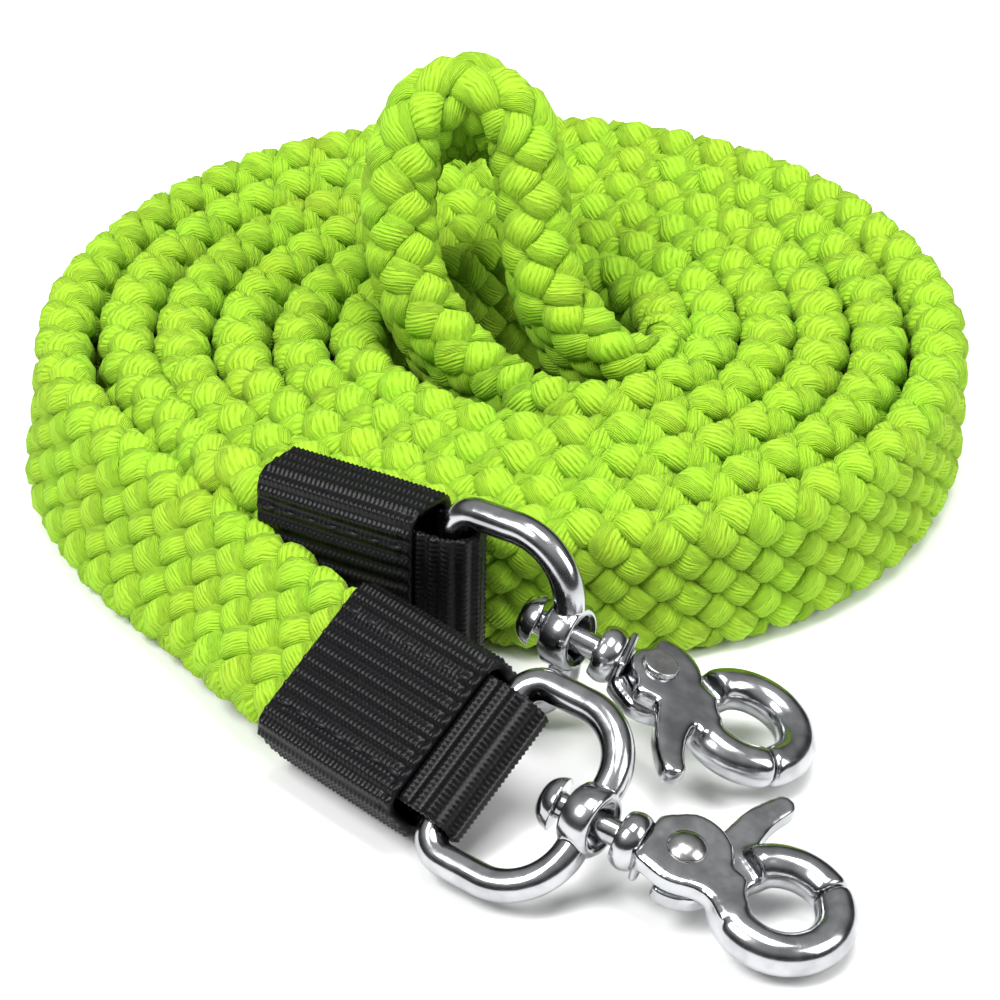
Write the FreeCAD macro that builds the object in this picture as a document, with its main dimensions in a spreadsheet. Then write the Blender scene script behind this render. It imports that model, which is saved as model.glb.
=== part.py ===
"""Lead rope: a flat braided rope wound in a double spiral, with a webbing cuff, a
D-ring and a swivelling trigger snap on each end.

Frame: millimetres, +Z up, the coil's axis is the Z axis and the rope lies on Z = 0.
+Y points away from the two ends' side, +X to the right of it.
"""
import FreeCAD, Part
import Sketcher
import math
import os

V = FreeCAD.Vector
os.makedirs("parts", exist_ok=True)
doc = FreeCAD.newDocument("lead_rope")

# ---------------------------------------------------------------- driving dimensions
SIZES = {
    # the flat braid
    "rope_width": 26.0,
    "rope_thickness": 9.5,
    # the coil: two ropes side by side, winding inward clockwise from the left (-X) side
    "coil_radius": 76.2,
    "coil_dent": 8.3,
    "dent_angle": 240.0,
    "dent_spread": 36.0,
    "lead_angle": 215.0,
    # the bight that stands up from the middle, in a plane that leans back
    "bight_lean": 30.0,
    "bight_y": -10.75,
    "bight_z": 13.5,
    # sewn ends
    "web_thickness": 1.25,
    "cuff_length": 28.5,
    "cuff_width": 28.8,
    "cuff_thickness": 12.4,
    "cuff_corner": 2.2,
    "tongue_width": 25.4,
    "tongue_thickness": 7.0,
    "tongue_length": 22.0,
    "cuff_lap": 2.0,
    "loop_width": 22.8,
    "loop_reach": 4.0,
    "stitch_length": 2.6,
    "stitch_width": 0.9,
    "stitch_height": 0.45,
    "stitch_gap": 3.9,
    "stitch_row": 8.6,
    # D-ring
    "ring_rod": 2.5,
    "ring_half_width": 15.0,
    "ring_depth": 20.5,
    "ring_heel": 4.0,
    "ring_shoulder": 10.0,
    "boss_radius": 5.2,
    "boss_length": 5.0,
    "eye_waist": 2.45,
    "eye_mouth": 3.9,
    # swivel stem
    "neck_radius": 2.0,
    "neck_half": 4.9,
    "head_radius": 4.2,
    "head_length": 3.0,
    "collar_radius": 4.5,
    "collar_length": 3.8,
    # trigger snap
    "plate_thickness": 3.1,
    "plate_gap": 0.05,
    "plate_radius": 7.0,
    "root_length": 1.2,
    "heel_radius": 4.5,
    "rivet_x": 14.6,
    "rivet_y": 1.0,
    "rivet_radius": 1.9,
    "rivet_head": 3.0,
    "hook_x": 30.2,
    "hook_y": 1.2,
    "hook_radius": 8.1,
    "hook_rod": 3.1,
    "seam_angle": 50.0,
    "spring_radius": 2.9,
    "spring_wire": 0.25,
    "spring_pitch": 0.53,
    "spring_turns": 3.0,
    "spring_leg": 2.6,
    "spring_room": 3.5,
}
sheet = doc.addObject("Spreadsheet::Sheet", "sizes")
for row, (alias, value) in enumerate(SIZES.items(), start=1):
    sheet.set(f"A{row}", alias)
    sheet.set(f"B{row}", str(value))
    sheet.setAlias(f"B{row}", alias)
doc.recompute()


def size(alias):
    return float(getattr(sheet, alias))


# ---------------------------------------------------------------- where the pieces lie
FRONT = {"mouth": V(-31.3, -82.2, 13.3), "heading": -45.0, "pitch": 0.0, "roll": 57.0,
         "bend_before": 22.0, "ring_swing": 6.0, "ring_skew": -5.0,
         "snap_heading": -26.0, "snap_pitch": 13.0, "snap_roll": 5.0}
REAR = {"mouth": V(-39.6, -51.9, 16.4), "heading": -32.0, "pitch": -2.5, "roll": 6.0,
        "bend_before": 9.0, "ring_swing": 0.0, "ring_skew": 2.5,
        "snap_heading": -17.0, "snap_pitch": 20.0, "snap_roll": 180.0}
ENDS = {"front": FRONT, "rear": REAR}


def rope_frame(heading, pitch, roll):
    """Placement rotation: X along the rope, Z across its width, Y through its thickness.

    roll 0 stands the rope on its edge; a positive roll leans the upper edge over to the
    left of the heading.
    """
    along = V(math.cos(math.radians(heading)) * math.cos(math.radians(pitch)),
              math.sin(math.radians(heading)) * math.cos(math.radians(pitch)),
              -math.sin(math.radians(pitch)))
    right = along.cross(V(0, 0, 1)).normalize()
    upright = right.cross(along)
    lean = math.radians(roll)
    across = upright * math.cos(lean) - right * math.sin(lean)
    through = across.cross(along)
    return FreeCAD.Rotation(along, through, across, "XYZ")


def end_placement(end):
    return FreeCAD.Placement(end["mouth"], rope_frame(end["heading"], end["pitch"], end["roll"]))


def ring_placement(end):
    """The D-ring's bar lies in the webbing loop; the ring swings about its bar."""
    bar = FreeCAD.Placement(V(size("cuff_length") + size("loop_reach"), 0, 0), FreeCAD.Rotation())
    swing = FreeCAD.Rotation(V(0, 0, 1), end["ring_swing"])
    skew = FreeCAD.Rotation(V(0, 1, 0), end["ring_skew"])
    return end_placement(end) * bar * FreeCAD.Placement(V(), swing * skew)


def snap_placement(end):
    """The snap turns about its stem, whose neck passes through the D-ring's eye."""
    eye = ring_placement(end).multVec(V(size("ring_depth"), 0, 0))
    turn = rope_frame(end["snap_heading"], end["snap_pitch"], 90.0)
    flat = FreeCAD.Rotation(V(1, 0, 0), 90.0 + end["snap_roll"])
    return FreeCAD.Placement(eye, turn * flat)


# ---------------------------------------------------------------- helpers
def bind(obj, **links):
    """Bind properties to cells of the sheet: Length="cuff_length" and so on."""
    for prop, formula in links.items():
        words = formula
        for alias in sorted(SIZES, key=len, reverse=True):
            words = words.replace(alias, f"<<{alias}>>")
        for alias in SIZES:
            words = words.replace(f"<<{alias}>>", f"sizes.{alias}")
        obj.setExpression(prop, words)
    return obj


def plane(body, role):
    return next(item for item in body.Origin.OriginFeatures if item.Role == role)


def sketch_on(body, role, name, edges):
    """A sketch of lines and arcs on one of the body's own origin planes."""
    sketch = body.newObject("Sketcher::SketchObject", name)
    sketch.AttachmentSupport = [(plane(body, role), "")]
    sketch.MapMode = "FlatFace"
    for edge in edges:
        sketch.addGeometry(edge, False)
    doc.recompute()
    return sketch


def line(a, b):
    return Part.LineSegment(V(a[0], a[1], 0), V(b[0], b[1], 0))


def arc(a, b, c):
    return Part.Arc(V(a[0], a[1], 0), V(b[0], b[1], 0), V(c[0], c[1], 0))


def closed(points):
    return [line(a, b) for a, b in zip(points, points[1:] + points[:1])]


def circle(radius):
    return [Part.Circle(V(0, 0, 0), V(0, 0, 1), radius)]


def rounded(x, y, r):
    """A rectangle about the sketch's origin, from -x to x and -y to y, with round corners."""
    k = r * (1 - math.sqrt(0.5))
    edges = []
    for u, v in ((1, 1), (-1, 1), (-1, -1), (1, -1)):
        ends = [(u * x, v * (y - r)), (u * (x - r), v * y)]
        if u != v:
            ends.reverse()
        edges.append(arc(ends[0], (u * (x - k), v * (y - k)), ends[1]))
    joins = [line(edges[i - 1].EndPoint, edges[i].StartPoint) for i in range(4)]
    return edges + joins


def part_object(kind, name, **links):
    return bind(doc.addObject(kind, name), **links)


def cut(name, base, tools):
    for index, tool in enumerate(tools):
        step = doc.addObject("Part::Cut", f"{name}_{index}")
        step.Base = base
        step.Tool = tool
        doc.recompute()
        if step.Shape.Volume > base.Shape.Volume - 0.001:
            raise RuntimeError(f"{step.Name}: the cut removed nothing")
        base = step
    return base


def node(obj, label, placement=None):
    obj.Label = label
    if placement is not None:
        obj.Placement = placement
    NODES.append(obj)
    return obj


NODES = []


# ---------------------------------------------------------------- the coil
def coil_reach(turns, inner_rope):
    """Radius of a rope's middle; turns count clockwise from the left side, inward."""
    layer = 2.0 * turns + inner_rope
    angle = 180.0 - 360.0 * turns
    off_dent = (angle - size("dent_angle") + 180.0) % 360.0 - 180.0
    outer_fade = min(1.0, max(0.0, (layer + 0.25) / 1.25))
    inner_fade = min(1.0, max(0.0, (6.5 - layer) / 5.0))
    dent = size("coil_dent") * math.exp(-(off_dent / size("dent_spread")) ** 2)
    return size("coil_radius") - size("rope_thickness") * layer - dent * outer_fade * inner_fade


def coil_point(turns, radius):
    angle = math.radians(180.0 - 360.0 * turns)
    return (radius * math.cos(angle), radius * math.sin(angle))


LEAD_TURNS = (180.0 - size("lead_angle")) / 360.0


def make_coil():
    """One closed solid of the coil's outer shape, with a step where the two leads leave."""
    steps = 24
    rim = []
    for step in range(steps + 1):
        turns = LEAD_TURNS + step / steps
        rim.append(coil_point(turns, coil_reach(turns, 0) + size("rope_thickness") / 2))
    edges = [arc(rim[i], rim[i + 1], rim[i + 2]) for i in range(0, steps, 2)]
    edges.append(line(rim[-1], rim[0]))
    body = doc.addObject("PartDesign::Body", "coil_body")
    outline = sketch_on(body, "XY_Plane", "coil_outline", edges)
    pad = body.newObject("PartDesign::Pad", "coil_pad")
    pad.Profile = outline
    bind(pad, Length="rope_width")
    doc.recompute()
    return node(body, "rope_coil")


# ---------------------------------------------------------------- routes of runs and arcs
def rounded_route(points, name):
    """Straight runs joined by tangent arcs; prints each arc's radius."""
    pieces = []
    start = points[0]
    for before, corner, after in zip(points, points[1:], points[2:]):
        run_in = (corner - before).normalize()
        run_out = (after - corner).normalize()
        half_turn = run_in.getAngle(run_out) / 2
        shorter = min((corner - before).Length, (after - corner).Length)
        cut = 0.45 * shorter
        first = corner - run_in * cut
        last = corner + run_out * cut
        inward = (run_out - run_in).normalize()
        radius = cut / math.tan(half_turn)
        middle = corner + inward * (radius / math.cos(half_turn) - radius)
        pieces.append(("line", start, first))
        pieces.append(("arc", first, middle, last))
        start = last
        print(f"{name}: turn {math.degrees(2 * half_turn):.0f} degrees, radius {radius:.1f}")
    pieces.append(("line", start, points[-1]))
    return pieces


def route_edges(pieces):
    edges = []
    for piece in pieces:
        if piece[0] == "line":
            edges.append(Part.LineSegment(piece[1], piece[2]).toShape())
        else:
            edges.append(Part.Arc(piece[1], piece[2], piece[3]).toShape())
    return edges


def ribbon_edges(pieces, half):
    """The outline of a band of this half width along a flat route of runs and arcs."""
    sides = {1: [], -1: []}
    for piece in pieces:
        ends = [piece[1], piece[-1]]
        if piece[0] == "line":
            way = (ends[1] - ends[0]).normalize()
            normals = [V(-way.y, way.x, 0)] * 2
        else:
            centre = Part.Arc(*piece[1:]).toShape().Curve.Center
            turn = (piece[2] - piece[1]).cross(piece[3] - piece[2]).z
            normals = [(centre - end).normalize() * (1 if turn > 0 else -1) for end in ends]
            centre_normal = (centre - piece[2]).normalize() * (1 if turn > 0 else -1)
        for side in (1, -1):
            a = ends[0] + normals[0] * half * side
            b = ends[1] + normals[1] * half * side
            if piece[0] == "line":
                sides[side].append(Part.LineSegment(a, b))
            else:
                sides[side].append(Part.Arc(a, piece[2] + centre_normal * half * side, b))
    start = [Part.LineSegment(sides[-1][0].StartPoint, sides[1][0].StartPoint)]
    last = pieces[-1]
    way = (last[2] - last[1]).normalize()
    across = V(-way.y, way.x, 0) * half
    return sides[1] + sides[-1] + start + [Part.LineSegment(last[2] + across, last[2] - across)]


# The bight's middle line in its own leaning plane: across, and up the slope.
BIGHT_ROUTE = [(-2.0, 3.5), (-16.5, 13.5), (-21.8, 27.0), (-20.8, 43.0), (-17.0, 55.5),
               (-3.0, 57.0), (0.2, 45.0), (1.2, 30.0), (6.5, 14.5), (19.0, 4.0)]


def make_bight():
    """The rope's middle: a band bent flatwise into a loop that rises out of the coil."""
    points = [V(x, y, 0) for x, y in BIGHT_ROUTE]
    pieces = rounded_route(points, "bight")
    body = doc.addObject("PartDesign::Body", "bight_body")
    outline = sketch_on(body, "XZ_Plane", "bight_outline",
                        ribbon_edges(pieces, size("rope_thickness") / 2))
    pad = body.newObject("PartDesign::Pad", "bight_pad")
    pad.Profile = outline
    pad.Midplane = True
    bind(pad, Length="rope_width")
    doc.recompute()
    length = sum(edge.Length for edge in route_edges(pieces))
    section = size("rope_width") * size("rope_thickness")
    print(f"bight: length {length:.1f}, volume {body.Shape.Volume:.0f}, "
          f"section x length {section * length:.0f}")
    lean = FreeCAD.Rotation(V(1, 0, 0), -size("bight_lean"))
    body.Placement = FreeCAD.Placement(V(0, size("bight_y"), size("bight_z")), lean)
    coil_room = part_object("Part::Box", "coil_room", Height="rope_width")
    coil_room.Length = 100
    coil_room.Width = 100
    coil_room.Placement = FreeCAD.Placement(V(-50, -50, 0), FreeCAD.Rotation())
    return node(cut("bight_above_coil", body, [coil_room]), "rope_bight")


# ---------------------------------------------------------------- the leads
def rope_section(place, width, thickness):
    """An eight-sided section across the rope, its corners cut by a quarter thickness."""
    w = width / 2
    t = thickness / 2
    c = thickness / 4
    corners = [(t, w - c), (t - c, w), (c - t, w), (-t, w - c),
               (-t, c - w), (c - t, -w), (t - c, -w), (t, c - w)]
    points = [place.multVec(V(0, y, z)) for y, z in corners]
    return Part.makePolygon(points + points[:1])


def lead_route(end, inner_rope):
    """From the coil's step to a bend just before the cuff, then straight into the cuff."""
    turns = LEAD_TURNS
    x, y = coil_point(turns, coil_reach(turns, inner_rope))
    cuff = end_placement(end)
    return [V(x, y, size("rope_width") / 2),
            cuff.multVec(V(-end["bend_before"], 0, 0)),
            cuff.multVec(V(size("tongue_length"), 0, 0))]


def make_lead(name, end, inner_rope):
    """The rope from the coil to its cuff, rolling over as it goes, and its sewn tongue."""
    pieces = rounded_route(lead_route(end, inner_rope), name)
    cuff = end_placement(end)
    stations = [(pieces[0][1], 0.0), (pieces[0][2], 0.3), (pieces[1][2], 0.6), (pieces[1][3], 0.9)]
    start = size("lead_angle") - 270.0
    width = size("rope_width")
    thickness = size("rope_thickness")
    wires = []
    for point, share in stations:
        heading = start + (end["heading"] - start) * share
        turn = rope_frame(heading, end["pitch"] * share, end["roll"] * share)
        wires.append(rope_section(FreeCAD.Placement(point, turn), width, thickness))
    mouth = cuff * FreeCAD.Placement(V(size("cuff_lap"), 0, 0), FreeCAD.Rotation())
    wires.append(rope_section(mouth, width, thickness))
    rope = Part.makeLoft(wires, True, True)
    tongue_end = cuff * FreeCAD.Placement(V(size("tongue_length"), 0, 0), FreeCAD.Rotation())
    tongue = Part.makeLoft([rope_section(place, size("tongue_width"), size("tongue_thickness"))
                            for place in (mouth, tongue_end)], True, True)
    feature = doc.addObject("Part::Feature", name)
    feature.Shape = rope.fuse(tongue)
    length = sum(edge.Length for edge in route_edges(pieces))
    length += size("cuff_lap") - size("tongue_length")
    print(f"{name}: length {length:.1f}, volume {rope.Volume:.0f}, "
          f"section x length {(width * thickness - thickness ** 2 / 8) * length:.0f}")
    return node(feature, name)


# ---------------------------------------------------------------- sewn webbing
def make_cuff(name, end):
    """A sleeve of webbing wrapped round the rope's end."""
    body = doc.addObject("PartDesign::Body", name + "_body")
    t = size("cuff_thickness") / 2
    w = size("cuff_width") / 2
    corner = size("cuff_corner")
    wall = size("web_thickness")
    outline = sketch_on(body, "YZ_Plane", name + "_section", rounded(t, w, corner))
    pad = body.newObject("PartDesign::Pad", name + "_pad")
    pad.Profile = outline
    bind(pad, Length="cuff_length")
    inner = sketch_on(body, "YZ_Plane", name + "_inside", rounded(t - wall, w - wall, corner - wall))
    doc.recompute()
    solid = pad.Shape.Volume
    pocket = body.newObject("PartDesign::Pocket", name + "_pocket")
    pocket.Profile = inner
    pocket.Type = "ThroughAll"
    pocket.Midplane = True
    doc.recompute()
    check_cut(body, solid)
    return node(body, name, end_placement(end))


def check_cut(body, before):
    if body.Shape.Volume > before * 0.999:
        raise RuntimeError(f"{body.Name}: the cut removed nothing")


def make_loop(name, end):
    """The webbing strip that runs out of the cuff, round the D-ring's bar and back."""
    wall = size("web_thickness")
    outer = size("cuff_thickness") / 2 - wall - 0.05
    inner = outer - wall
    start = size("cuff_lap") + 1.0
    bar = size("cuff_length") + size("loop_reach")
    edges = [line((start, outer), (bar, outer)),
             arc((bar, outer), (bar + outer, 0), (bar, -outer)),
             line((bar, -outer), (start, -outer)),
             line((start, -outer), (start, -inner)),
             line((start, -inner), (bar, -inner)),
             arc((bar, -inner), (bar + inner, 0), (bar, inner)),
             line((bar, inner), (start, inner)),
             line((start, inner), (start, outer))]
    body = doc.addObject("PartDesign::Body", name + "_body")
    outline = sketch_on(body, "XY_Plane", name + "_profile", edges)
    pad = body.newObject("PartDesign::Pad", name + "_pad")
    pad.Profile = outline
    pad.Midplane = True
    bind(pad, Length="loop_width")
    doc.recompute()
    return node(body, name, end_placement(end))


def make_stitching(name, end):
    """Two rows of stitches along the rope on each face of the cuff, as separate solids."""
    half = size("stitch_width") / 2
    reach = size("stitch_length") / 2 - half
    count = int((size("cuff_length") - 5.0) / size("stitch_gap")) + 1
    first = (size("cuff_length") - (count - 1) * size("stitch_gap")) / 2
    edges = []
    for row in (-1, 1):
        z = row * size("stitch_row")
        for index in range(count):
            x = first + index * size("stitch_gap")
            edges += [line((x - reach, z + half), (x + reach, z + half)),
                      arc((x + reach, z + half), (x + reach + half, z), (x + reach, z - half)),
                      line((x + reach, z - half), (x - reach, z - half)),
                      arc((x - reach, z - half), (x - reach - half, z), (x - reach, z + half))]
    threads = []
    flat = size("cuff_thickness") / 2
    for side in (-1, 1):
        lift = FreeCAD.Placement(V(0, 0, flat * side), FreeCAD.Rotation())
        outline = doc.addObject("Sketcher::SketchObject", f"{name}_rows")
        for edge in edges:
            outline.addGeometry(edge, False)
        outline.Placement = FreeCAD.Placement(V(), FreeCAD.Rotation(V(1, 0, 0), 90)) * lift
        thread = doc.addObject("Part::Extrusion", f"{name}_thread")
        thread.Base = outline
        thread.DirMode = "Normal"
        thread.Solid = True
        thread.Reversed = side < 0
        bind(thread, LengthFwd="stitch_height")
        threads.append(thread)
    both = doc.addObject("Part::Compound", name)
    both.Links = threads
    doc.recompute()
    return node(both, name, end_placement(end))


# ---------------------------------------------------------------- D-ring
def make_ring(name, end):
    """A closed D: straight bar, two sides, a flattened bow with a bored eye in its middle."""
    w = size("ring_half_width")
    d = size("ring_depth")
    r = size("ring_heel")
    s = size("ring_shoulder")
    k = 1 - math.sqrt(0.5)
    right = [line((0, 0), (0, w - r)),
             arc((0, w - r), (r * k, w - r * k), (r, w)),
             line((r, w), (d - s, w)),
             arc((d - s, w), (d - s * k, w - s * k), (d, w - s)),
             line((d, w - s), (d, 0))]
    left = [line((d, 0), (d, s - w)),
            arc((d, s - w), (d - s * k, s * k - w), (d - s, -w)),
            line((d - s, -w), (r, -w)),
            arc((r, -w), (r * k, r * k - w), (0, r - w)),
            line((0, r - w), (0, 0))]
    body = doc.addObject("PartDesign::Body", name + "_body")
    path = sketch_on(body, "XZ_Plane", name + "_path", right + left)
    rod = sketch_on(body, "XY_Plane", name + "_rod", circle(size("ring_rod")))
    rod.addConstraint(Sketcher.Constraint("Radius", 0, size("ring_rod")))
    pipe = body.newObject("PartDesign::AdditivePipe", name + "_pipe")
    pipe.Profile = rod
    pipe.Spine = path
    doc.recompute()
    half = size("boss_length") / 2
    chamfer = 0.6
    b = size("boss_radius")
    boss_profile = sketch_on(body, "XZ_Plane", name + "_boss_profile", closed(
        [(d - half, 0), (d - half, b - chamfer), (d - half + chamfer, b),
         (d + half - chamfer, b), (d + half, b - chamfer), (d + half, 0)]))
    boss = body.newObject("PartDesign::Revolution", name + "_boss")
    boss.Profile = boss_profile
    boss.ReferenceAxis = (boss_profile, ["H_Axis"])
    boss.Angle = 360
    doc.recompute()
    solid = body.Shape.Volume
    over = half + 1.0
    flare = size("eye_mouth") + (size("eye_mouth") - size("eye_waist")) / half
    eye_profile = sketch_on(body, "XZ_Plane", name + "_eye_profile", closed(
        [(d - over, 0), (d - over, flare), (d, size("eye_waist")), (d + over, flare), (d + over, 0)]))
    eye = body.newObject("PartDesign::Groove", name + "_eye")
    eye.Profile = eye_profile
    eye.ReferenceAxis = (eye_profile, ["H_Axis"])
    eye.Angle = 360
    doc.recompute()
    check_cut(body, solid)
    return node(body, name, ring_placement(end))


# ---------------------------------------------------------------- swivel stem
def make_stem(name, end):
    """Mushroom head, neck and collar, turned about X; the origin is the eye's middle."""
    n = size("neck_half")
    h = size("head_radius")
    c = size("collar_radius")
    tip = n + size("head_length")
    foot = n + size("collar_length")
    rim = 0.7
    neck = size("neck_radius")
    edges = [line((-tip, 0), (foot, 0)),
             line((foot, 0), (foot, c - rim)),
             arc((foot, c - rim), ((n + foot) / 2, c), (n, c - rim)),
             line((n, c - rim), (n, neck)),
             line((n, neck), (-n, neck)),
             line((-n, neck), (-n, h)),
             arc((-n, h), (-tip + 0.45, h * 0.6), (-tip, h * 0.2)),
             line((-tip, h * 0.2), (-tip, 0))]
    body = doc.addObject("PartDesign::Body", name + "_body")
    profile = sketch_on(body, "XZ_Plane", name + "_profile", edges)
    turned = body.newObject("PartDesign::Revolution", name + "_turned")
    turned.Profile = profile
    turned.ReferenceAxis = (profile, ["H_Axis"])
    turned.Angle = 360
    doc.recompute()
    return node(body, name, snap_placement(end))


# ---------------------------------------------------------------- trigger snap
def disc(name, radius, length, x, y, z):
    """A cylinder along Z whose radius is bound to the sheet."""
    item = part_object("Part::Cylinder", name, Radius=radius)
    item.Height = length
    item.Placement = FreeCAD.Placement(V(x, y, z), FreeCAD.Rotation())
    return item


def slab(name, edges, low, high):
    """A flat plate: an outline in XY between two heights."""
    outline = doc.addObject("Sketcher::SketchObject", name + "_outline")
    for edge in edges:
        outline.addGeometry(edge, False)
    outline.Placement = FreeCAD.Placement(V(0, 0, low), FreeCAD.Rotation())
    plate = doc.addObject("Part::Extrusion", name)
    plate.Base = outline
    plate.DirMode = "Normal"
    plate.Solid = True
    plate.LengthFwd = high - low
    return plate


def hook_arc(name, start, stop):
    """Part of the snap's round hook, from one angle to another, with a domed end."""
    item = part_object("Part::Torus", name, Radius1="hook_radius", Radius2="hook_rod")
    item.Angle3 = stop - start
    item.Placement = FreeCAD.Placement(V(size("hook_x"), size("hook_y"), 0),
                                       FreeCAD.Rotation(V(0, 0, 1), start))
    return item


def join(name, items):
    fuse = doc.addObject("Part::MultiFuse", name)
    fuse.Shapes = items
    fuse.Refine = True
    return fuse


def on_hook(radius, degrees):
    """A point at this radius and angle about the middle of the hook."""
    angle = math.radians(degrees)
    return (size("hook_x") + radius * math.cos(angle), size("hook_y") + radius * math.sin(angle))


def on_rivet(radius, degrees):
    angle = math.radians(degrees)
    return (size("rivet_x") + radius * math.cos(angle), size("rivet_y") + radius * math.sin(angle))


def arm(side, lobe, root):
    """Outline of a jaw's plate: a lobe about the rivet that runs out to the hook's rod.

    side is +1 for the jaw that closes the hook's +Y side, -1 for the other; root is the
    outline's points at the collar's end, from the near side to the far side.
    """
    hole = size("hook_radius") - size("hook_rod") * 0.8
    rim = size("hook_radius") + size("hook_rod") * 0.92
    inner = [on_hook(hole, 180 - side * angle) for angle in (2, 22, 48)]
    outer = [on_hook(rim, 180 - side * angle) for angle in (58, 38)]
    near = on_rivet(lobe, side * 62)
    waist = ((near[0] + outer[1][0]) / 2, (near[1] + outer[1][1]) / 2 - side * 0.35)
    far = [on_rivet(lobe, -side * angle) for angle in (75, 38, 8)]
    start = on_rivet(lobe, side * 105)
    back = on_rivet(lobe, -side * 105)
    return [arc(inner[0], inner[1], inner[2]), line(inner[2], outer[0]), line(outer[0], outer[1]),
            arc(outer[1], waist, near), arc(near, on_rivet(lobe, side * 84), start),
            *[line(a, b) for a, b in zip([start] + root, root + [back])],
            arc(back, on_rivet(lobe, -side * 90), far[0]), arc(far[0], far[1], far[2]),
            line(far[2], inner[0])]


def spring_room(name, low, high, slot_from, slot_to):
    """Space for the spring's coil about the rivet, with a slot for its leg."""
    room = disc(name + "_well", "spring_room", high - low, size("rivet_x"), size("rivet_y"), low)
    reach = 6.0
    edges = [line(on_rivet(0, 0), on_rivet(reach, slot_from)),
             arc(on_rivet(reach, slot_from), on_rivet(reach, (slot_from + slot_to) / 2),
                 on_rivet(reach, slot_to)),
             line(on_rivet(reach, slot_to), on_rivet(0, 0))]
    slot = slab(name + "_slot", edges, low, high)
    return join(name, [room, slot])


SPRING_DEPTH = 0.85


def make_fixed_jaw(name, end):
    """The half that the stem carries: upper plate, root, and the hook's -Y side and tip."""
    gap = size("plate_gap")
    top = gap + size("plate_thickness")
    foot = size("neck_half") + size("collar_length")
    root_end = foot + size("root_length")
    half = size("collar_radius")
    plate = slab(name + "_plate", arm(-1, size("plate_radius"), [(foot, -half), (foot, half)]), gap, top)
    root = slab(name + "_root", closed([(foot, -half), (root_end, -half), (root_end, half),
                                        (foot, half)]), -top, top)
    hook = hook_arc(name + "_hook", 180 + 35, 360 + size("seam_angle"))
    bore = disc(name + "_bore", "rivet_radius", top * 2, size("rivet_x"), size("rivet_y"), -top / 2)
    room = spring_room(name + "_spring_room", gap - 0.5, gap + SPRING_DEPTH, 243, 262)
    solid = cut(name + "_cut", join(name + "_joined", [plate, root, hook]), [bore, room])
    return node(solid, name, snap_placement(end))


def make_moving_jaw(name, end):
    """The half that turns on the rivet: lower plate, thumb lever, the hook's +Y side."""
    gap = size("plate_gap")
    low = gap + size("plate_thickness")
    lobe = size("plate_radius")
    heel = size("heel_radius")
    root = [on_rivet(heel, 120), on_rivet(heel, 150), on_rivet(heel, 180), on_rivet(heel, 210),
            on_rivet(heel, 240)]
    plate = slab(name + "_plate", arm(1, lobe, root), -low, -gap)
    hook = hook_arc(name + "_hook", size("seam_angle") + 2.0, 180 - 35)
    lever_edges = [line((16.2, 6.2), (17.2, 10.5)), arc((17.2, 10.5), (18.3, 15.5), (20.6, 20.3)),
                   arc((20.6, 20.3), (23.0, 21.5), (24.2, 19.2)),
                   arc((24.2, 19.2), (22.6, 13.0), (22.9, 8.6)), line((22.9, 8.6), (20.0, 4.0)),
                   line((20.0, 4.0), (16.2, 6.2))]
    lever = slab(name + "_lever", lever_edges, -low, -gap)
    bore = part_object("Part::Cylinder", name + "_bore", Radius="rivet_radius + plate_gap")
    bore.Height = low * 2
    bore.Placement = FreeCAD.Placement(V(size("rivet_x"), size("rivet_y"), -low * 1.5),
                                       FreeCAD.Rotation())
    room = spring_room(name + "_spring_room", -gap - SPRING_DEPTH, 0.5 - gap, 244, 296)
    solid = cut(name + "_cut", join(name + "_joined", [plate, hook, lever]), [bore, room])
    return node(solid, name, snap_placement(end))


def make_rivet(name, end):
    """Shank through both plates, a domed head on the fixed side, a flat one on the other."""
    gap = size("plate_gap")
    top = gap + size("plate_thickness")
    under = top + 0.1
    r = size("rivet_radius")
    head = size("rivet_head")
    edges = [line((0, -under - 0.8), (0, top + 1.3)),
             arc((0, top + 1.3), (head * 0.62, top + 1.0), (head, top + 0.25)),
             line((head, top + 0.25), (head, top)), line((head, top), (r, top)),
             line((r, top), (r, -under)), line((r, -under), (head, -under)),
             line((head, -under), (head - 0.3, -under - 0.8)),
             line((head - 0.3, -under - 0.8), (0, -under - 0.8))]
    body = doc.addObject("PartDesign::Body", name + "_body")
    profile = sketch_on(body, "XZ_Plane", name + "_profile", edges)
    turned = body.newObject("PartDesign::Revolution", name + "_turned")
    turned.Profile = profile
    turned.ReferenceAxis = (profile, ["V_Axis"])
    turned.Angle = 360
    doc.recompute()
    seat = FreeCAD.Placement(V(size("rivet_x"), size("rivet_y"), 0), FreeCAD.Rotation())
    return node(body, name, snap_placement(end) * seat)


def make_spring(name, end):
    """A torsion spring: close turns round the rivet; the end turns run out into a leg each."""
    half = size("spring_pitch") * (size("spring_turns") - 1) / 2
    turns = []
    for turn in range(int(size("spring_turns"))):
        ring = part_object("Part::Torus", f"{name}_turn", Radius1="spring_radius",
                           Radius2="spring_wire")
        ring.Placement = FreeCAD.Placement(V(0, 0, turn * size("spring_pitch") - half),
                                           FreeCAD.Rotation(V(0, 0, 1), 110))
        turns.append(ring)
    for index, heading in ((0, 0), (-1, -30)):
        leg = part_object("Part::Cylinder", name + "_leg", Radius="spring_wire * 0.8",
                          Height="spring_leg")
        turned = FreeCAD.Rotation(V(0, 0, 1), heading)
        start = turned.multVec(V(size("spring_radius"), 0, turns[index].Placement.Base.z))
        leg.Placement = FreeCAD.Placement(start, turned * FreeCAD.Rotation(V(0, 1, 0), 90))
        turns[index] = join(f"{name}_end_turn", [turns[index], leg])
    coil = doc.addObject("Part::Compound", name)
    coil.Links = turns
    seat = FreeCAD.Placement(V(size("rivet_x"), size("rivet_y"), 0),
                             FreeCAD.Rotation(V(0, 0, 1), 282))
    return node(coil, name, snap_placement(end) * seat)


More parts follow.
